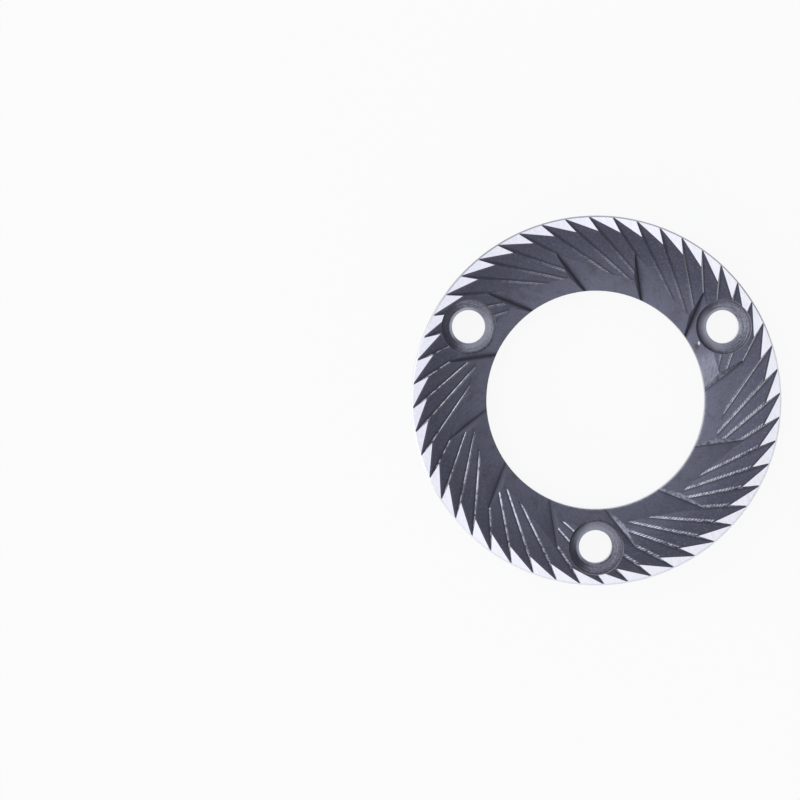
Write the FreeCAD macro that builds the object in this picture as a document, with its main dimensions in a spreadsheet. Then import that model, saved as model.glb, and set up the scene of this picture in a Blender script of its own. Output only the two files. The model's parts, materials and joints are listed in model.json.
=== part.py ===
import FreeCAD, Part
import os
import Sketcher

# A flat burr for a coffee grinder: one ring of hardened tool steel, turned, milled and ground.
# The origin is on the bore axis, in the plane of the back rim, and +Z points out of the toothed face.
# Lengths are in millimetres and angles in degrees.

SIZES = {
    # The turned ring
    "outer_diameter": 64.0,
    "bore_diameter": 38.0,
    "thickness": 9.0,
    "land_edge_chamfer": 0.25,
    # The back: a proud rim, a short slope and a face turned slightly lower
    "back_rim_width": 2.7,
    "back_slope_width": 0.95,
    "back_step": 0.8,
    "back_rim_chamfer": 0.75,
    "back_bore_chamfer": 1.05,
    # The screw holes, sunk from the toothed side
    "screw_count": 3,
    "screw_start_angle": 270.0,
    "screw_hole_diameter": 5.8,
    "head_seat_diameter": 9.5,
    "head_seat_depth": 2.6,
    "head_seat_angle": 90.0,
    "back_hole_chamfer": 0.45,
    # The fine grooves, whose root lines all touch one circle just outside the bore
    "groove_count": 48,
    "groove_phase": 2.9,
    "groove_circle_margin": 0.5,
    "groove_runout_margin": 0.5,
    "groove_end_margin": 1.8,
    "groove_slope": 5.5,
    "groove_ramp_angle": 13.2,
    "groove_vee_angle": 116.0,
    # The breaker pockets, which each start on the root of a fine groove and fall towards the bore
    "breaker_count": 12,
    "breaker_circle_radius": 10.5,
    "breaker_start_margin": 5.7,
    "breaker_bore_depth": 4.0,
    "breaker_ramp_angle": 26.2,
    "breaker_vee_angle": 106.0,
    # How far a cutter's path runs past the steel
    "cutter_overrun": 1.0,
}

doc = FreeCAD.newDocument("FlatBurr")
sheet = doc.addObject("Spreadsheet::Sheet", "Sizes")
for row, (alias, size) in enumerate(SIZES.items(), start=1):
    sheet.set(f"A{row}", alias)
    sheet.set(f"B{row}", str(size))
    sheet.setAlias(f"B{row}", alias)
doc.recompute()

body = doc.addObject("PartDesign::Body", "FlatBurr")
body.Label = "flat_burr"


def origin_feature(role):
    """One of the planes or axes of the body's own origin."""
    return next(feature for feature in body.Origin.OriginFeatures if feature.Role == role)


def sketch_on(support, name):
    """A sketch that lies flat on a plane of the body."""
    sketch = body.newObject("Sketcher::SketchObject", name)
    sketch.AttachmentSupport = [(support, "")]
    sketch.MapMode = "FlatFace"
    return sketch


def place(sketch, kind, geometry, point, expression):
    """Tie one coordinate of a point to the sheet, or keep it on the sketch's axis where it is 0."""
    if expression == "0":
        axis = -1 if kind == "DistanceY" else -2
        sketch.addConstraint(Sketcher.Constraint("PointOnObject", geometry, point, axis))
        return
    value = float(sheet.evalExpression(expression))
    number = sketch.addConstraint(Sketcher.Constraint(kind, -1, 1, geometry, point, value))
    sketch.setExpression(f"Constraints[{number}]", expression)


def outline(sketch, corners):
    """A closed outline of straight edges, whose corners are pairs of expressions on the sheet."""
    points = [FreeCAD.Vector(*(float(sheet.evalExpression(e)) for e in corner)) for corner in corners]
    count = len(points)
    for i in range(count):
        sketch.addGeometry(Part.LineSegment(points[i], points[(i + 1) % count]), False)
    for i in range(count):
        sketch.addConstraint(Sketcher.Constraint("Coincident", i, 2, (i + 1) % count, 1))
    for i, (across, up) in enumerate(corners):
        place(sketch, "DistanceX", i, 1, across)
        place(sketch, "DistanceY", i, 1, up)


def patterned(feature, name, count):
    """Repeat a feature round the bore axis and make the pattern the body's newest step."""
    pattern = body.newObject("PartDesign::PolarPattern", name)
    pattern.Originals = [feature]
    pattern.Axis = (origin_feature("Z_Axis"), [""])
    pattern.Angle = 360
    pattern.setExpression("Occurrences", count)
    body.Tip = pattern
    doc.recompute()
    return pattern


# The turned ring, drawn as half its section and revolved: the bore, the flat land plane that the
# teeth are cut down from, the outside, and the back with its rim, slope and lower face.
OUTER = "Sizes.outer_diameter / 2"
BORE = "Sizes.bore_diameter / 2"
RIM_INSIDE = f"{OUTER} - Sizes.back_rim_width"
SLOPE_INSIDE = f"{RIM_INSIDE} - Sizes.back_slope_width"

section = sketch_on(origin_feature("XZ_Plane"), "RingSection")
outline(section, [
    (BORE, "Sizes.thickness"),
    (BORE, "Sizes.back_step + Sizes.back_bore_chamfer"),
    (f"{BORE} + Sizes.back_bore_chamfer", "Sizes.back_step"),
    (SLOPE_INSIDE, "Sizes.back_step"),
    (RIM_INSIDE, "0"),
    (f"{OUTER} - Sizes.back_rim_chamfer", "0"),
    (OUTER, "Sizes.back_rim_chamfer"),
    (OUTER, "Sizes.thickness - Sizes.land_edge_chamfer"),
    (f"{OUTER} - Sizes.land_edge_chamfer", "Sizes.thickness"),
])
ring = body.newObject("PartDesign::Revolution", "TurnedRing")
ring.Profile = section
ring.ReferenceAxis = (origin_feature("Z_Axis"), [""])
ring.Angle = 360
doc.recompute()
ring_volume = ring.Shape.Volume


# The teeth are what is left between straight cuts. A cut has a root line whose plan touches a circle
# about the axis and which falls towards the bore, a ramp that climbs clockwise from the root to the
# next cut's root line, and a wall on the root's other side. Its outline is drawn on the ramp, with
# the root line's outward end as origin, x across the ramp and y outwards along the root, and is swept
# upwards along the wall. In plan, "along" is measured out from where the root line touches the circle.
def cut_along_root(name, line, reach, count):
    """Cut one groove and repeat it round the axis; line holds the expressions that set its place."""
    circle, start, end, slope, tilt = (line[key] for key in ("circle", "start", "end", "slope", "ramp"))
    turn = (
        f"rotation(vector(0; 0; 1); {line['phase']})"
        f" * rotation(vector(1; 0; 0); {slope})"
        f" * rotation(vector(0; 1; 0); -{tilt})"
    )
    x = f"{circle} * cos({line['phase']}) - {start} * sin({line['phase']})"
    y = f"{circle} * sin({line['phase']}) + {start} * cos({line['phase']})"
    z = f"Sizes.thickness - {line['depth']}"
    ramp = sketch_on(origin_feature("XY_Plane"), name + "Ramp")
    ramp.setExpression("AttachmentOffset", f"placement(vector({x}; {y}; {z}); {turn})")

    def on_next_root(along):
        off = f"(({circle} + {along} * sin(360 / {count})) / cos(360 / {count}) - {circle})"
        lift = f"{off} * tan({tilt}) * sin({slope})"
        return f"{off} / cos({tilt})", f"({along} - {start} + {lift}) / cos({slope})"

    past_start = f"({start} + Sizes.cutter_overrun)"
    outline(ramp, [
        ("0", f"({past_start} - {start}) / cos({slope})"),
        ("0", f"({end} - {start}) / cos({slope})"),
        on_next_root(end),
        on_next_root(past_start),
    ])

    before = body.Tip.Shape.Volume
    cut = body.newObject("PartDesign::Pocket", name)
    cut.Profile = ramp
    cut.UseCustomVector = True
    cut.AlongSketchNormal = True
    cut.setExpression("Direction", f"{turn} * vector(-tan({line['vee']} - 90); 0; 1)")
    cut.setExpression("Length", reach)
    body.Tip = cut
    doc.recompute()
    if cut.Shape.Volume >= before:
        raise RuntimeError(f"{name} cuts nothing")
    patterned(cut, name + "Pattern", count)


# The fine grooves. Each runs out to nothing a small margin inside the rim, so the steel left between
# two of them is a pointed land in the ground plane, and further in a sharp crest between one ramp and
# the next wall.
GROOVE_CIRCLE = f"({BORE} + Sizes.groove_circle_margin)"
GROOVE_RUNOUT = f"sqrt(({OUTER} - Sizes.groove_runout_margin) ^ 2 - {GROOVE_CIRCLE} ^ 2)"
GROOVE_END = f"sqrt(({BORE} + Sizes.groove_end_margin) ^ 2 - {GROOVE_CIRCLE} ^ 2)"

cut_along_root(
    "FineGroove",
    {
        "phase": "Sizes.groove_phase",
        "circle": GROOVE_CIRCLE,
        "start": GROOVE_RUNOUT,
        "end": GROOVE_END,
        "depth": "0",
        "slope": "Sizes.groove_slope",
        "ramp": "Sizes.groove_ramp_angle",
        "vee": "Sizes.groove_vee_angle",
    },
    f"({GROOVE_RUNOUT} - {GROOVE_END}) * tan(Sizes.groove_slope) + Sizes.cutter_overrun",
    "Sizes.groove_count",
)

# The breaker pockets, which crack the beans before the fine teeth. A pocket's root line leaves the
# root of a fine groove at the start radius, and its ramp climbs to the wall of the next pocket.
START_RADIUS = f"({OUTER} - Sizes.breaker_start_margin)"
BREAKER_START = f"sqrt({START_RADIUS} ^ 2 - Sizes.breaker_circle_radius ^ 2)"
BREAKER_BORE = f"sqrt(({BORE}) ^ 2 - Sizes.breaker_circle_radius ^ 2)"
GROOVE_THERE = f"sqrt({START_RADIUS} ^ 2 - {GROOVE_CIRCLE} ^ 2)"
START_DEPTH = f"(({GROOVE_RUNOUT} - {GROOVE_THERE}) * tan(Sizes.groove_slope))"
BREAKER_FALL = f"(Sizes.breaker_bore_depth - {START_DEPTH}) / ({BREAKER_START} - {BREAKER_BORE})"
BREAKER_PITCH = "360 / Sizes.breaker_count"
NEXT_AT_BORE = f"{BREAKER_BORE} * cos({BREAKER_PITCH}) - Sizes.breaker_circle_radius * sin({BREAKER_PITCH})"
START_ANGLES = (
    f"acos({GROOVE_CIRCLE} / {START_RADIUS})"
    f" - acos(Sizes.breaker_circle_radius / {START_RADIUS})"
)

cut_along_root(
    "Breaker",
    {
        "phase": f"(Sizes.groove_phase * 1 deg + {START_ANGLES})",
        "circle": "Sizes.breaker_circle_radius",
        "start": BREAKER_START,
        "end": f"({NEXT_AT_BORE} - Sizes.cutter_overrun)",
        "depth": START_DEPTH,
        "slope": f"atan({BREAKER_FALL})",
        "ramp": "Sizes.breaker_ramp_angle",
        "vee": "Sizes.breaker_vee_angle",
    },
    "Sizes.thickness",
    "Sizes.breaker_count",
)

# The screw holes, in the middle of the ring's width. Each has a straight-walled seat sunk below the
# grooves, a cone for the head of a countersunk screw, and a clearance hole through to the back.
SCREW_CIRCLE = f"({OUTER} + {BORE}) / 2"
hole_face = sketch_on(origin_feature("XY_Plane"), "ScrewHoleCentre")
hole_face.setExpression("AttachmentOffset", "placement(vector(0; 0; Sizes.thickness); rotation(0; 0; 0))")
CENTRE_X = f"{SCREW_CIRCLE} * cos(Sizes.screw_start_angle)"
CENTRE_Y = f"{SCREW_CIRCLE} * sin(Sizes.screw_start_angle)"
centre = FreeCAD.Vector(*(float(sheet.evalExpression(e)) for e in (CENTRE_X, CENTRE_Y)))
hole_face.addGeometry(Part.Circle(centre, FreeCAD.Vector(0, 0, 1), 1), False)
place(hole_face, "DistanceX", 0, 3, CENTRE_X)
place(hole_face, "DistanceY", 0, 3, CENTRE_Y)
number = hole_face.addConstraint(Sketcher.Constraint("Diameter", 0, 1))
hole_face.setExpression(f"Constraints[{number}]", "Sizes.screw_hole_diameter")
doc.recompute()

before = body.Tip.Shape.Volume
hole = body.newObject("PartDesign::Hole", "ScrewHole")
hole.Profile = hole_face
doc.recompute()
hole.Threaded = False
hole.DepthType = "ThroughAll"
hole.setExpression("Diameter", "Sizes.screw_hole_diameter")
hole.HoleCutType = "Counterdrill"
hole.HoleCutCustomValues = True
hole.setExpression("HoleCutDiameter", "Sizes.head_seat_diameter")
hole.setExpression("HoleCutDepth", "Sizes.head_seat_depth")
hole.setExpression("HoleCutCountersinkAngle", "Sizes.head_seat_angle")
body.Tip = hole
doc.recompute()
if hole.Shape.Volume >= before:
    raise RuntimeError("ScrewHole cuts nothing")
holes = patterned(hole, "ScrewHoles", "Sizes.screw_count")

# The edge of each screw hole is broken where it comes out in the lower face of the back.
step = float(sheet.evalExpression("Sizes.back_step"))
hole_radius = float(sheet.evalExpression("Sizes.screw_hole_diameter / 2"))
ROUNDING = 1e-4
back_edges = []
for number, edge in enumerate(holes.Shape.Edges, start=1):
    if not isinstance(edge.Curve, Part.Circle):
        continue
    if abs(edge.Curve.Radius - hole_radius) < ROUNDING and abs(edge.Curve.Center.z - step) < ROUNDING:
        back_edges.append(f"Edge{number}")
if not back_edges:
    raise RuntimeError("no hole comes out in the back")
broken = body.newObject("PartDesign::Chamfer", "BackHoleEdges")
broken.Base = (holes, back_edges)
broken.setExpression("Size", "Sizes.back_hole_chamfer")
body.Tip = broken
doc.recompute()

stale = [o.Name for o in doc.Objects if "Invalid" in o.State or "Error" in o.State]
if stale:
    raise RuntimeError(f"not built: {stale}")
shape = body.Shape
if shape.isNull() or not shape.isValid() or len(shape.Solids) != 1:
    raise RuntimeError(f"{body.Label} is not one sound solid")
print(body.Label, round(ring_volume), round(shape.Volume), len(shape.Faces), shape.BoundBox)
os.makedirs("parts", exist_ok=True)
shape.exportStep(f"parts/{body.Label}.step")
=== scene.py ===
import json
import math

import bpy
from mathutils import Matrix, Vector


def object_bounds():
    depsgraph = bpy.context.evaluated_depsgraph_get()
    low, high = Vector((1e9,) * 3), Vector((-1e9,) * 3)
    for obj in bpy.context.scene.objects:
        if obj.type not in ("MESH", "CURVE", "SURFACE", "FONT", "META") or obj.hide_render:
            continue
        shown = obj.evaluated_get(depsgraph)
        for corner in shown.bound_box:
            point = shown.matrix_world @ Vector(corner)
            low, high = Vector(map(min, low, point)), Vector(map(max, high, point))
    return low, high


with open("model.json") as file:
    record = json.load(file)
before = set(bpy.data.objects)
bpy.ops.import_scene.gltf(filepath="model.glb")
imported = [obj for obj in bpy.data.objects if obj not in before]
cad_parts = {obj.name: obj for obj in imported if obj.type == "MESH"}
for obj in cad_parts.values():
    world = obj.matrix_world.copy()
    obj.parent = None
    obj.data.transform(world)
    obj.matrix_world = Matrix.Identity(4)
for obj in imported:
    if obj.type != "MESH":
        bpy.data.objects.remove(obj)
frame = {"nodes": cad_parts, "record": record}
cad_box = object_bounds()

# The burr is one ring of hardened tool steel, lying on its back with its teeth up. The lands and the
# back are ground, the grooves between the teeth keep the dark skin of milling and hardening, and the
# screw holes show the rings of the countersink that made them.
burr = frame["nodes"]["flat_burr"]
MOUNTS = {mount["name"]: mount for mount in frame["record"]["mounts"]}
OUTER_RADIUS = MOUNTS["rim"]["dims"]["r_mm"]
BORE_RADIUS = MOUNTS["bore"]["dims"]["r_mm"]
SCREW_COUNT = MOUNTS["screw_holes"]["dims"]["count"]
SCREW_CIRCLE = MOUNTS["screw_holes"]["dims"]["pcd_mm"] / 2
SCREW_START = math.radians(270)
SEAT_RADIUS = 4.75
MM = 0.001

# The cutter's lines, in millimetres and degrees. The roots of the fine grooves touch one circle about
# the axis, and those of the breaker pockets touch a smaller one.
GROOVES = {"count": 48, "circle": 19.5, "phase": 2.9}
POCKETS = {"count": 12, "circle": 10.5, "start": 26.3}
POCKETS["phase"] = (
    GROOVES["phase"]
    + math.degrees(math.acos(GROOVES["circle"] / POCKETS["start"]))
    - math.degrees(math.acos(POCKETS["circle"] / POCKETS["start"]))
)


class Term:
    """A value in a finish, which adds its own nodes when it is used in a sum."""

    def __init__(self, finish, socket):
        self.finish = finish
        self.socket = socket

    def math(self, operation, *others):
        """A Math node with this value first."""
        values = dict(enumerate([self, *others]))
        return self.finish.node("ShaderNodeMath", {"operation": operation}, values)["Value"]

    def __add__(self, other):
        return self.math("ADD", other)

    def __sub__(self, other):
        return self.math("SUBTRACT", other)

    def __rsub__(self, other):
        return self.math("MULTIPLY_ADD", -1, other)

    def __mul__(self, other):
        return self.math("MULTIPLY", other)

    def __truediv__(self, other):
        return self.math("DIVIDE", other)

    def __rtruediv__(self, other):
        return self.math("POWER", -1) * other

    __radd__ = __add__
    __rmul__ = __mul__

    def rise(self, low, high):
        """0 up to low and 1 from high, with a soft step between; it falls where low is the higher."""
        values = {"Value": self, "From Min": low, "From Max": high}
        return self.finish.node("ShaderNodeMapRange", {"interpolation_type": "SMOOTHSTEP"}, values)["Result"]


class Finish:
    """A material made of nodes."""

    def __init__(self, name):
        self.material = bpy.data.materials.new(name)
        self.material.use_nodes = True
        self.material.node_tree.nodes.clear()

    def node(self, kind, settings, values):
        """A node of a kind, with its settings, and a value or link for each socket by name or number."""
        made = self.material.node_tree.nodes.new(kind)
        for name, setting in settings.items():
            setattr(made, name, setting)
        sockets = [socket for socket in made.inputs if socket.enabled]
        for key, value in values.items():
            named = [socket for socket in sockets if socket.name == key]
            socket = sockets[key] if isinstance(key, int) else named[0]
            if isinstance(value, Term):
                self.material.node_tree.links.new(value.socket, socket)
            else:
                socket.default_value = value
        return {socket.name: Term(self, socket) for socket in made.outputs if socket.enabled}

    def mix(self, share, under, over):
        """A colour that goes from under to over as share goes from 0 to 1."""
        values = {"Factor": share, "A": under, "B": over}
        return self.node("ShaderNodeMix", {"data_type": "RGBA"}, values)["Result"]

    def vector(self, *parts):
        """Three values as one vector."""
        return self.node("ShaderNodeCombineXYZ", {}, dict(enumerate(parts)))["Vector"]

    def noise(self, place, scale, detail=2.0, rough=0.5):
        """Cloudy noise about 0.5, whose lumps are about 1 / scale across."""
        values = {"Vector": place, "Scale": scale, "Detail": detail, "Roughness": rough}
        return self.node("ShaderNodeTexNoise", {}, values)["Fac"]


# The places on the burr are in millimetres from its axis, with x to the right in the picture and y up.
steel = Finish("tool_steel")
coordinates = steel.node("ShaderNodeTexCoord", {}, {})
in_mm = {0: coordinates["Object"], "Scale": 1 / MM}
spot = steel.node("ShaderNodeVectorMath", {"operation": "SCALE"}, in_mm)["Vector"]
axes = steel.node("ShaderNodeSeparateXYZ", {}, {0: spot})
x, y, z = axes["X"], axes["Y"], axes["Z"]
facing = steel.node("ShaderNodeSeparateXYZ", {}, {0: coordinates["Normal"]})
facing_x, facing_y, facing_up = facing["X"], facing["Y"], facing["Z"]
radius = (x * x + y * y).math("SQRT")
angle = y.math("ARCTAN2", x)

# Three screws hold the burr down, through holes drilled and sunk on one circle about its axis. This is
# how far a point is from the axis of the nearest hole, and which way round it.
hole_pitch = 2 * math.pi / SCREW_COUNT
turned = (angle - SCREW_START) / hole_pitch
off_hole = (turned - turned.math("ROUND")) * hole_pitch
hole_x = radius * off_hole.math("COSINE") - SCREW_CIRCLE
hole_y = radius * off_hole.math("SINE")
from_hole = (hole_x * hole_x + hole_y * hole_y).math("SQRT")
round_hole = hole_y.math("ARCTAN2", hole_x)


def between_roots(cuts):
    """Where a point lies among the root lines: how far along, and how far from the line on each side."""
    pitch = 2 * math.pi / cuts["count"]
    reach = radius.math("MAXIMUM", cuts["circle"] + 0.01)
    along = (reach * reach - cuts["circle"] ** 2).math("SQRT")
    turned = (angle - math.radians(cuts["phase"]) - (cuts["circle"] / reach).math("ARCCOSINE")) / pitch
    share = turned.math("FRACT")
    number = turned.math("FLOOR").math("FLOORED_MODULO", cuts["count"])
    gap = along * pitch
    return {"along": along, "from_next": share * gap, "from_root": (1 - share) * gap, "number": number}


groove = between_roots(GROOVES)
pocket = between_roots(POCKETS)

# The kinds of surface, told apart by how far they face up and how far out they are. The upward part of
# a face's normal is 1 on the lands, 0.97 on the fine ramps, 0.83 on the breaker floors, 0.71 on the
# cones and the rim's chamfer, and 0.63 on the walls.
CHAMFER_INSIDE = OUTER_RADIUS - 0.28
CHAMFER_EDGE = 0.04
land = facing_up.rise(0.992, 0.998)
chamfer = radius.rise(CHAMFER_INSIDE, CHAMFER_INSIDE + CHAMFER_EDGE) * facing_up.rise(0.6, 0.65)
chamfer = chamfer * (1 - land)
in_seat = from_hole.rise(SEAT_RADIUS + 0.04, SEAT_RADIUS + 0.01)
floor = facing_up.rise(0.74, 0.78) * (1 - land) * (1 - in_seat) * (1 - chamfer)
fine_floor = facing_up.rise(0.93, 0.95) * floor
wall = facing_up.rise(0.4, 0.5) * facing_up.rise(0.77, 0.74) * (1 - in_seat) * (1 - chamfer)
cone = facing_up.rise(0.4, 0.5) * in_seat

# The grooves were milled before the steel was hardened, and keep a dark grey-blue skin. The cutter's
# lines run along each groove, with cloudy tints over them, and the skin is lighter towards the bore.
NEAR_BORE = 5.5
LINES_ACROSS = 5
LINES_ALONG = 0.35
GROOVE_STEP = 7.3
POCKET_STEP = 5.1
groove_across = groove["from_root"] * LINES_ACROSS
groove_lay = steel.vector(groove_across, groove["along"] * LINES_ALONG, groove["number"] * GROOVE_STEP)
pocket_across = pocket["from_root"] * LINES_ACROSS
pocket_lay = steel.vector(pocket_across, pocket["along"] * LINES_ALONG, pocket["number"] * POCKET_STEP)
fine_lines = steel.noise(groove_lay, 1.0, 3.0)
pocket_lines = steel.noise(pocket_lay, 1.0, 3.0)
lines = fine_lines * fine_floor + pocket_lines * (1 - fine_floor)
clouds = steel.noise(spot, 0.33, 2.0)
near_bore = radius.rise(BORE_RADIUS + NEAR_BORE, BORE_RADIUS)

SKIN_DARK = (0.103, 0.108, 0.153, 1)
SKIN_LIGHT = (0.158, 0.164, 0.223, 1)
SKIN_WARM = (0.125, 0.113, 0.14, 1)
POCKET_DARK = (0.174, 0.181, 0.243, 1)
POCKET_LIGHT = (0.224, 0.232, 0.307, 1)
SKIN_DEEP = (0.069, 0.072, 0.104, 1)
SKIN_SPECK = (0.26, 0.265, 0.34, 1)
SKIN_PIT = (0.05, 0.05, 0.068, 1)
skin = steel.mix(near_bore, POCKET_DARK, POCKET_LIGHT)
fine_skin = steel.mix(radius.rise(30, 22.5) * 0.75, SKIN_DARK, SKIN_LIGHT)
# Painted shade: the fine ramps are darker at the upper right and the lower right.
shaded_right_ramps = y.math("ABSOLUTE").rise(6, 17) * x.rise(-8, 8)
fine_skin = steel.mix(shaded_right_ramps * radius.rise(23, 27) * 0.6, fine_skin, SKIN_DEEP)
skin = steel.mix(fine_floor, skin, fine_skin)
skin = steel.mix(clouds.rise(0.5, 0.75) * 0.5, skin, SKIN_WARM)
skin = steel.mix(lines.rise(0.45, 0.8) * 0.35, skin, SKIN_LIGHT)
grain = steel.noise(spot, 2.6, 3.0, 0.75)
skin = steel.mix(grain.rise(0.5, 0.72) * 0.35, skin, SKIN_SPECK)
skin = steel.mix(grain.rise(0.5, 0.3) * 0.25, skin, SKIN_PIT)

# The cutter dragged its chips along the foot of each breaker wall, in long pale streaks.
DRAG_WIDTH = 2.2
DRAG_CORE = 0.4
DRAG_ACROSS = 4.5
DRAG_ALONG = 0.12
by_wall = pocket["from_next"].rise(DRAG_WIDTH, DRAG_CORE) * (1 - fine_floor)
drag_lay = steel.vector(pocket["from_next"] * DRAG_ACROSS, pocket["along"] * DRAG_ALONG, pocket["number"])
drag = steel.noise(drag_lay, 1.0, 3.0)
skin = steel.mix(by_wall * drag.rise(0.5, 0.62) * 0.35, skin, SKIN_SPECK)

# One breaker pocket beside a screw hole is rubbed pale and scratched by handling. Near it, at the edge
# of the bore, are a brown stain and a small bright nick.
WORN = {"pocket": 11, "x": 19.7, "y": 5.4, "radius": 3.4, "core": 1.2}
worn_x = x - WORN["x"]
worn_y = y - WORN["y"]
from_worn = (worn_x * worn_x + worn_y * worn_y * 0.6).math("SQRT")
worn = from_worn.rise(WORN["radius"], WORN["core"]) * (1 - fine_floor)
worn = worn * pocket["number"].math("COMPARE", WORN["pocket"], 0.5)
rubs_lay = steel.vector((x * 0.93 - y * 0.37) * 3.5, (y * 0.93 + x * 0.37) * 0.7, 0.0)
rubs = steel.noise(rubs_lay, 1.0, 4.0, 0.7)
SKIN_RUBBED = (0.42, 0.43, 0.53, 1)
skin = steel.mix(worn * (rubs.rise(0.3, 0.65) * 0.6 + 0.25), skin, SKIN_RUBBED)
STAIN = {"x": 17.35, "y": 9.2, "radius": 1.5, "core": 0.9, "colour": (0.13, 0.1, 0.09, 1)}
stain_x = x - STAIN["x"]
stain_y = y - STAIN["y"]
from_stain = (stain_x * stain_x + stain_y * stain_y * 0.5).math("SQRT") + steel.noise(spot, 1.7, 3.0) * 1.6
skin = steel.mix(from_stain.rise(STAIN["radius"], STAIN["core"]) * 0.8, skin, STAIN["colour"])
NICK = {"x": 17.85, "y": 9.9, "radius": 0.2, "core": 0.1, "colour": (0.9, 0.9, 0.92, 1)}
nick_x = x - NICK["x"]
nick_y = (y - NICK["y"]) * 0.5
from_nick = (nick_x * nick_x + nick_y * nick_y).math("SQRT")
skin = steel.mix(from_nick.rise(NICK["radius"], NICK["core"]), skin, NICK["colour"])

# A painted highlight runs along the edge of the bore at the lower right. Painted shade lies along the foot
# of each ramp and breaker floor, by its root line, where the skin is darkest.
BORE_HIGHLIGHT = (0.42, 0.43, 0.5, 1)
EDGE_WIDTH = 0.3
EDGE_CORE = 0.1
SKIN_ROOT_SHADE = (0.03, 0.032, 0.048, 1)
FOOT_WIDTH = 0.5
bore_edge_highlight = radius.rise(BORE_RADIUS + EDGE_WIDTH, BORE_RADIUS + EDGE_CORE) * grain.rise(0.35, 0.6)
skin = steel.mix(bore_edge_highlight * (x - y).rise(0, 22) * 0.8, skin, BORE_HIGHLIGHT)
# Painted shade in the crease along each root line.
root_shade = groove["from_root"].rise(FOOT_WIDTH, 0.05) * fine_floor * 0.5
root_shade = root_shade + pocket["from_root"].rise(FOOT_WIDTH, 0.1) * (1 - fine_floor) * 0.3
skin = steel.mix(root_shade, skin, SKIN_ROOT_SHADE)

# The steep side of each tooth and its rounded crest are one band, milled with the groove and brighter than
# the skin. Its colour carries painted light: it is dark at the top of the burr and has a painted highlight
# at the lower left and the right. The cutter's chatter crosses it as beads, which carry painted glints,
# strongest at the lower right. At the lower left the band is narrow with a smooth painted highlight, and
# elsewhere it is faint.
BAND_WIDTH = 0.33
LOWER_LEFT_NARROWER = 0.14
BAND_EDGE = 0.05
CHATTER_PITCH = 0.58
CREST_START = 20
CREST_SPREAD = 0.027
patchy = steel.noise(spot, 1.4, 3.0)
waves = groove["along"] + groove["from_next"] * 0.15 + steel.noise(spot, 1.2) * 0.35
chatter = (waves * (2 * math.pi / CHATTER_PITCH)).math("SINE")

# A fine wall's plane passes the axis at the radius of the grooves' circle, and a breaker wall's nearer.
sideways = (1 - facing_up * facing_up).math("SQRT").math("MAXIMUM", 0.01)
faced_circle = (facing_x * x + facing_y * y) / sideways
fine_wall = faced_circle.rise(14, 15) * wall
past_crest = groove["from_next"] - (radius - CREST_START) * CREST_SPREAD
lower_left_side = ((x * -0.5 - y * 0.87) / radius).rise(0.75, 0.92)
crest_width = BAND_WIDTH - lower_left_side * LOWER_LEFT_NARROWER
on_crest = past_crest.rise(crest_width, crest_width - BAND_EDGE) * fine_floor
bead_glint_side = (x * 0.57 - y * 0.82).rise(9, 19)
right_side_highlight = x.rise(13, 19) * y.rise(-9, -3)
inner = radius.rise(28, 22.5)
# Painted glints on the chatter beads, strongest at the lower right and a little at the upper left, and a
# smooth painted highlight at the lower left.
dots = (chatter.rise(-0.9, 0.8) * 0.8 + 0.2) * patchy.rise(0.22, 0.6)
upper_left = (y * 0.8 - x * 0.6).rise(8, 18)
dots = dots * (bead_glint_side * 0.75 + inner * (upper_left * 0.25 + 0.22))
dots = dots.math("MAXIMUM", lower_left_side * patchy.rise(0.25, 0.55) * radius.rise(30, 23))
band = fine_wall.math("MAXIMUM", on_crest * dots)
WALL_SHADED = (0.035, 0.036, 0.048, 1)
WALL_LIT = (0.85, 0.86, 0.94, 1)
WALL_ROOT_SHADE = (0.04, 0.042, 0.055, 1)
WALL_POCKET = (0.12, 0.124, 0.168, 1)
beaded = 1 - chatter.rise(0.8, -0.8) * (bead_glint_side * 0.4 + 0.1)
# The band's tone: its own patchy brightness, brighter towards the inner end, and painted light that darkens
# it at the top and adds a painted highlight at the right.
band_tone_and_light = (patchy.rise(0.35, 0.65) * 0.45 + radius.rise(28.5, 23) * 0.55) * beaded
band_tone_and_light = band_tone_and_light * (y.rise(17, 4) * 0.7 + inner * 0.25 + 0.03) + right_side_highlight * 0.35
band_colour = steel.mix(band_tone_and_light, WALL_SHADED, WALL_LIT)
# A breaker wall has painted shade by its root, painted light that makes it lighter towards the bottom of the
# burr, and painted light with glints at the lower right.
clear_of_root = pocket["from_next"].rise(0.1, 0.7) * pocket_lines.rise(0.2, 0.5)
pocket_wall = steel.mix(clear_of_root, WALL_ROOT_SHADE, WALL_POCKET)
WALL_LIT_SIDE = (0.13, 0.135, 0.188, 1)
WALL_GLINT = (0.48, 0.49, 0.59, 1)
lit_wall_side = (x * 0.85 - y * 0.5).rise(9.5, 15) * y.rise(8, 3)
lit_wall_colour = steel.mix(patchy.rise(0.3, 0.65) * 0.6, WALL_LIT_SIDE, WALL_GLINT)
pocket_wall = steel.mix(y.rise(5, -6) * 0.6, pocket_wall, WALL_POCKET)
pocket_wall = steel.mix(lit_wall_side, pocket_wall, lit_wall_colour)
wall_colour = steel.mix(fine_wall, pocket_wall, band_colour)
# Pale painted glints where the beads cross the crest.
CREST_GLINT = (0.55, 0.56, 0.66, 1)
skin = steel.mix(on_crest * dots, skin, CREST_GLINT)

# A rounded crest shines as a land does, whatever way its face leans, and so does the rim's chamfer at
# the lower right. A breaker wall does it partly.
CREST_WORN = 0.93
POCKET_WALL_WORN = 0.75
rim_highlight_side = (x * 0.5 - y * 0.87).rise(-12, 12)
worn_up = band * CREST_WORN + (wall - fine_wall) * POCKET_WALL_WORN + chamfer * rim_highlight_side * CREST_WORN
worn_share = {"Factor": worn_up, "A": coordinates["Normal"], "B": (0, 0, 1)}
normal = steel.node("ShaderNodeMix", {"data_type": "VECTOR"}, worn_share)["Result"]

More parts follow.
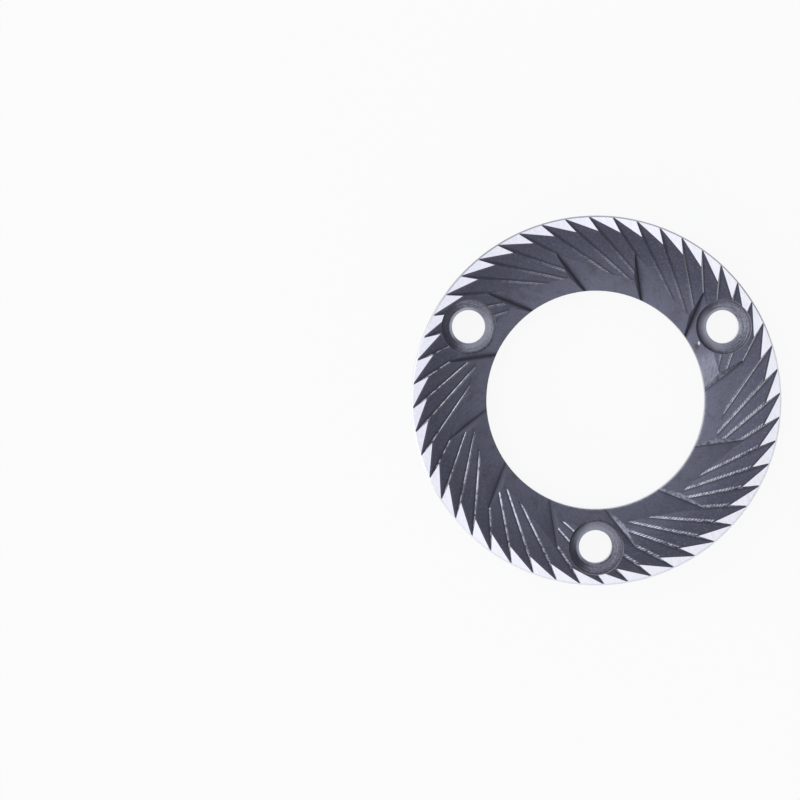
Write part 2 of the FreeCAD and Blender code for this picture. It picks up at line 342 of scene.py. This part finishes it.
# The lands are what the grooves left of the blank's face. They were ground flat after hardening, with fine
# straight scratches, and carry painted shade at the left.
SCRATCHES_ACROSS = 6
SCRATCHES_ALONG = 0.5
grind_across = (x * 0.94 + y * 0.34) * SCRATCHES_ACROSS
grind_lay = steel.vector(grind_across, (y * 0.94 - x * 0.34) * SCRATCHES_ALONG, z * 0.1)
grind = steel.noise(grind_lay, 1.0, 4.0, 0.6)
LAND_PALE = (0.87, 0.875, 0.94, 1)
LAND_GREY = (0.77, 0.775, 0.86, 1)
land_colour = steel.mix(grind.rise(0.35, 0.62), LAND_GREY, LAND_PALE)
LAND_SHADED = (0.68, 0.685, 0.77, 1)
# Painted shade on the lands at the left.
shaded_land_side = (y * 0.42 - x * 0.91).rise(6, 28)
land_colour = steel.mix(shaded_land_side * (grain.rise(0.3, 0.7) * 0.7 + 0.5), land_colour, LAND_SHADED)

# The real fine grooves run out at the rim, and the solid's end just inside it. So the last of each is
# dark skin on the land: its long ramp on one side of the root line, its steep wall on the other.
TIP_PAST_RIM = 0.15
GROOVE_TIP = math.sqrt((OUTER_RADIUS + TIP_PAST_RIM) ** 2 - GROOVES["circle"] ** 2)
RAMP_REACH = 0.41
WALL_REACH = 0.08
TIP_EDGE = 0.06
swing = (GROOVES["circle"] / radius).math("ARCCOSINE") - groove["from_root"] / groove["along"]
beside_root = radius * swing.math("COSINE") - GROOVES["circle"]
ramp_end = ((GROOVE_TIP - radius * swing.math("SINE")) * RAMP_REACH - beside_root).rise(0, TIP_EDGE)
wall_end = ((GROOVE_TIP - groove["along"]) * WALL_REACH - groove["from_next"]).rise(0, TIP_EDGE)
land_colour = steel.mix(ramp_end.math("MAXIMUM", wall_end), land_colour, SKIN_DEEP)

# Each screw's head sits in a straight-walled seat with a cone under it. The tool that cut them left rings
# round the hole. The cone carries painted light: painted shade where it faces right and at its outer rim
# under the seat's wall, and painted highlights on the side towards the bore and along part of the hole's
# edge.
RINGS_ACROSS = 7
RINGS_ROUND = 0.5
rings_lay = steel.vector(from_hole * RINGS_ACROSS, round_hole * RINGS_ROUND, 0.0)
rings = steel.noise(rings_lay, 1.0, 3.0, 0.6)
CONE_DARK = (0.17, 0.175, 0.225, 1)
CONE_LIGHT = (0.6, 0.61, 0.71, 1)
CONE_SHADE = (0.07, 0.072, 0.095, 1)
CONE_RIM_SHADE = (0.07, 0.07, 0.09, 1)
CONE_HIGHLIGHT = (0.85, 0.86, 0.95, 1)
cone_grain = rings.rise(0.42, 0.58) * 0.6 + grain.rise(0.4, 0.6) * 0.4
cone_colour = steel.mix(cone_grain, CONE_DARK, CONE_LIGHT)
# Painted shade on the part of the cone that faces right.
cone_colour = steel.mix(facing_x.rise(0.1, 0.5) * 0.75, cone_colour, CONE_SHADE)
lit_bore_side = (hole_x / from_hole).rise(0.4, -1) * from_hole.rise(4.6, 3.1)
cone_colour = steel.mix(lit_bore_side * 0.85, cone_colour, CONE_HIGHLIGHT)
hole_edge_highlight = from_hole.rise(3.5, 3.2) * (facing_x * 0.8 - facing_y * 0.6).rise(-0.3, 0.5)
cone_colour = steel.mix(hole_edge_highlight * 0.9, cone_colour, CONE_HIGHLIGHT)
# Painted shade at the cone's outer rim, under the seat's wall.
cone_colour = steel.mix(from_hole.rise(4.1, 4.7) * 0.6, cone_colour, CONE_RIM_SHADE)

# The outer side and the bore were turned on a lathe and stay bare grey steel, with fine rings that run
# round them.
TURNED = (0.62, 0.63, 0.7, 1)
TURNED_GREY = (0.46, 0.47, 0.54, 1)
RINGS_UP = 11
RINGS_SIDEWAYS = 0.03
turning_lay = steel.vector(x * RINGS_SIDEWAYS, y * RINGS_SIDEWAYS, z * RINGS_UP)
turning = steel.noise(turning_lay, 1.0, 5.0, 0.7)
turned_colour = steel.mix(turning.rise(0.35, 0.65), TURNED_GREY, TURNED)

# The back sits on the grinder's carrier. It has a mottled rim, a slope with painted shade, painted
# highlights along its edges, and a paler face, scratched by handling and brightest by the bore.
RIM_EDGE = OUTER_RADIUS - 0.75
RIM_INSIDE = OUTER_RADIUS - 2.7
BORE_CHAMFER = BORE_RADIUS + 1.05
BACK_FACE = (0.33, 0.345, 0.45, 1)
BACK_CLOUD = (0.43, 0.45, 0.56, 1)
BACK_BRIGHT = (0.7, 0.71, 0.8, 1)
BACK_SLOPE_SHADE = (0.2, 0.21, 0.27, 1)
MOTTLE_DARK = (0.2, 0.225, 0.32, 1)
MOTTLE_PALE = (0.36, 0.39, 0.52, 1)
back_colour = steel.mix(steel.noise(spot, 0.12, 3.0, 0.6).rise(0.4, 0.6), BACK_FACE, BACK_CLOUD)
strokes = (steel.noise(spot, 0.45, 3.0, 0.6) - 0.5).math("ABSOLUTE").rise(0.01, 0.003)
strokes = strokes * steel.noise(spot, 0.2, 2.0).rise(0.5, 0.6)
smear = steel.noise(steel.vector(x * 1.1 + y * 0.5, y * 0.35 - x * 0.2, 0.0), 1.0, 5.0, 0.75)
back_near_bore = radius.rise(25, BORE_CHAMFER)
marks = strokes * 0.6 + smear.rise(0.5, 0.75) * (0.25 + back_near_bore * 0.5)
back_colour = steel.mix(marks, back_colour, BACK_BRIGHT)
mottle = steel.noise(spot, 1.5, 5.0, 0.7)
mottled = steel.mix(mottle.rise(0.4, 0.62), MOTTLE_DARK, MOTTLE_PALE)
back_colour = steel.mix(radius.rise(RIM_INSIDE - 0.02, RIM_INSIDE), back_colour, mottled)
# Painted shade on the slopes.
bevelled = facing_up.rise(-0.97, -0.9)
back_colour = steel.mix(bevelled, back_colour, BACK_SLOPE_SHADE)
back_colour = steel.mix(radius.rise(RIM_EDGE, RIM_EDGE + 0.1) * bevelled, back_colour, TURNED_GREY)
# Painted highlights along the edges of the rim and the bore's chamfer.
EDGE_HIGHLIGHT_WIDTH = 0.16
EDGE_HIGHLIGHT_CORE = 0.04
for edge in (RIM_EDGE, RIM_INSIDE, BORE_CHAMFER):
    edge_highlight = (radius - edge).math("ABSOLUTE").rise(EDGE_HIGHLIGHT_WIDTH, EDGE_HIGHLIGHT_CORE)
    back_colour = steel.mix(edge_highlight * 0.7, back_colour, BACK_BRIGHT)

# Each kind of surface takes its colour. The chamfer turned on the rim carries painted light: painted shade
# at the upper right, painted light at the lower left, and a painted highlight as bright as a land at the
# lower right.
colour = steel.mix(facing_up.rise(-0.35, -0.3), back_colour, turned_colour)
colour = steel.mix(floor, colour, skin)
colour = steel.mix(wall, colour, wall_colour)
colour = steel.mix(cone, colour, cone_colour)
colour = steel.mix(land, colour, land_colour)
CHAMFER_SHADED = (0.6, 0.605, 0.68, 1)
CHAMFER_LIT = (0.95, 0.95, 0.99, 1)
# Painted light and shade on the rim's chamfer, by side.
chamfer_colour = steel.mix(((x + y) * -0.71).rise(-4, 18), CHAMFER_SHADED, CHAMFER_LIT)
chamfer_colour = steel.mix(rim_highlight_side, chamfer_colour, LAND_PALE)
colour = steel.mix(chamfer, colour, chamfer_colour)

# The milled skin and the cones are the roughest, and the worn bands the smoothest. The cutter's lines,
# the rings, the chatter and the grinding scratches stand a few micrometres high, here in millimetres.
LINES_HIGH = 0.006
RINGS_HIGH = 0.01
CHATTER_HIGH = 0.002
SCRATCHES_HIGH = 0.0015
SKIN_ROUGHNESS = 0.46
roughness = SKIN_ROUGHNESS + lines.rise(0.3, 0.7) * floor * 0.08 + (floor - fine_floor) * 0.12
roughness = roughness - land * 0.14 - band * 0.26 + cone * 0.12
height = lines * floor * LINES_HIGH + rings * cone * RINGS_HIGH
height = height + chatter * band * CHATTER_HIGH + grind * land * SCRATCHES_HIGH
to_world = {"vector_type": "NORMAL", "convert_from": "OBJECT", "convert_to": "WORLD"}
normal = steel.node("ShaderNodeVectorTransform", to_world, {"Vector": normal})["Vector"]
relief = {"Height": height, "Strength": 1.0, "Distance": MM, "Normal": normal}
bump = steel.node("ShaderNodeBump", {}, relief)["Normal"]
surface = {"Base Color": colour, "Metallic": 1.0, "Roughness": roughness, "Normal": bump}
shader = steel.node("ShaderNodeBsdfPrincipled", {}, surface)["BSDF"]
steel.node("ShaderNodeOutputMaterial", {}, {"Surface": shader})
burr.data.materials.clear()
burr.data.materials.append(steel.material)

# The floor is a plain sheet of matt white paper. Seen by the camera or in the steel it is lifted
# towards white, and it keeps the soft shadow of the burr.
FLOOR_SIDE = 3.0
FLOOR_LIFT = 0.9
PAPER = (0.9, 0.9, 0.9, 1)
WHITE = (1, 1, 1, 1)
bpy.ops.mesh.primitive_plane_add(size=FLOOR_SIDE, location=(0, 0, cad_box[0].z))
sheet = bpy.context.object
sheet.name = "floor_sheet"
paper = Finish("white_sheet")
seen = paper.node("ShaderNodeLightPath", {}, {})
by_eye = seen["Is Camera Ray"].math("MAXIMUM", seen["Is Glossy Ray"])
by_eye = by_eye.math("MAXIMUM", seen["Is Transmission Ray"])
matt = paper.node("ShaderNodeBsdfDiffuse", {}, {"Color": PAPER})["BSDF"]
lifted = paper.node("ShaderNodeEmission", {}, {"Color": WHITE, "Strength": 1.0})["Emission"]
both = paper.node("ShaderNodeMixShader", {}, {0: by_eye * FLOOR_LIFT, 1: matt, 2: lifted})["Shader"]
paper.node("ShaderNodeOutputMaterial", {}, {"Surface": both})
sheet.data.materials.append(paper.material)

# The light is an even white studio, with a wide soft lamp overhead that the lands mirror. Four lower
# lamps, one on each side, catch the tooth walls, the breaker pockets and the countersinks.
STUDIO = (0.96, 0.97, 1.0, 1)
STUDIO_STRENGTH = 0.38
world = bpy.data.worlds.new("studio")
bpy.context.scene.world = world
world.use_nodes = True
backdrop = world.node_tree.nodes["Background"]
backdrop.inputs["Color"].default_value = STUDIO
backdrop.inputs["Strength"].default_value = STUDIO_STRENGTH


def soft_lamp(name, place, aim, width, height, brightness):
    """A flat lamp pointed at a place; seen in a mirror it is that many times as bright as white."""
    data = bpy.data.lights.new(name, "AREA")
    data.shape = "RECTANGLE"
    data.size = width
    data.size_y = height
    data.energy = brightness * math.pi * width * height
    lamp = bpy.data.objects.new(name, data)
    bpy.context.scene.collection.objects.link(lamp)
    lamp.location = place
    lamp.rotation_euler = (Vector(aim) - Vector(place)).to_track_quat("-Z", "Y").to_euler()


soft_lamp("overhead", (-0.31, 0.15, 1.3), (0, 0, 0), 1.56, 1.15, 1.0)
soft_lamp("left", (-0.53, -0.05, 0.2), (0, 0, 0), 0.7, 0.3, 1.3)
soft_lamp("front", (-0.02, -0.53, 0.2), (0, 0, 0), 0.6, 0.3, 0.9)
soft_lamp("right", (0.46, -0.3, 0.2), (0, 0, 0), 0.4, 0.3, 0.6)
soft_lamp("back", (0.2, 0.55, 0.3), (0, 0, 0), 0.6, 0.25, 0.3)

# The camera looks almost straight down from a metre up. It is past the left edge of the burr, so that
# the ring stands in the right half of the picture.
IMAGE_SIDE = 800
PIXELS_PER_MM = 5.78
CAMERA_ABOVE_LANDS = 1.0
CAMERA_X = -0.034
CAMERA_Y = 0.020
AIM_Y = 0.0001
land_plane = cad_box[1].z
camera_data = bpy.data.cameras.new("camera")
camera = bpy.data.objects.new("camera", camera_data)
bpy.context.scene.collection.objects.link(camera)
bpy.context.scene.camera = camera
tilt = math.atan2(CAMERA_Y - AIM_Y, CAMERA_ABOVE_LANDS)
camera.location = (CAMERA_X, CAMERA_Y, land_plane + CAMERA_ABOVE_LANDS)
camera.rotation_euler = (-tilt, 0, 0)
field = IMAGE_SIDE / PIXELS_PER_MM * MM
camera_data.lens = camera_data.sensor_width * CAMERA_ABOVE_LANDS / math.cos(tilt) / field

bpy.context.scene.view_settings.view_transform = "Standard"
